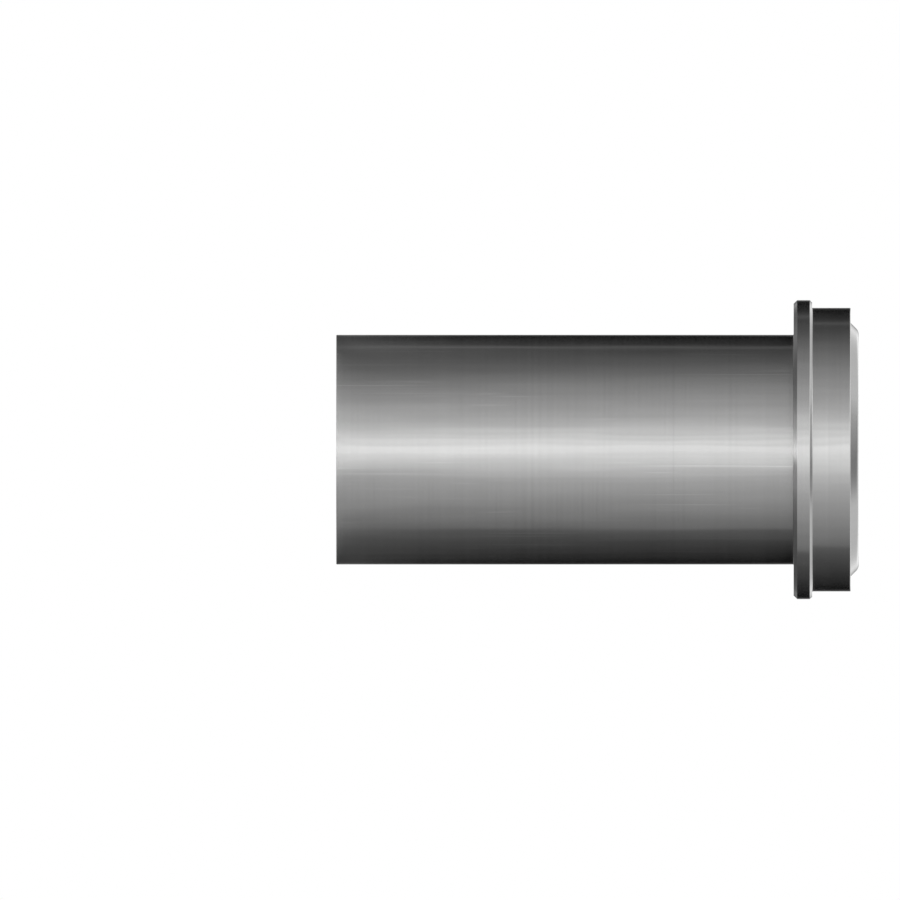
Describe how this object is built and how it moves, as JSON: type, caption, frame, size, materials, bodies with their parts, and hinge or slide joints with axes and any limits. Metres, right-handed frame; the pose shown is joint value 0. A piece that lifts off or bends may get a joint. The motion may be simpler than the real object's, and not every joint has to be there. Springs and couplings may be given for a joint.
{
  "type": "socket weld gland",
  "caption": "Turned steel tube gland with a stepped weld socket, a flow bore, a collar that a nut bears on and a raised round seal bead on its face.",
  "frame": {"origin": "centre of the flat end face round the weld socket", "axes": "+Z along the gland's axis, from the weld socket to the seal bead"},
  "size_m": [0.0194, 0.0194, 0.0339],
  "materials": {
    "stainless_steel": "fine turned outside, with the seal bead, the mouth and the bores polished"
  },
  "bodies": {
    "root": {"gland": "stainless_steel"}
  },
  "joints": []
}
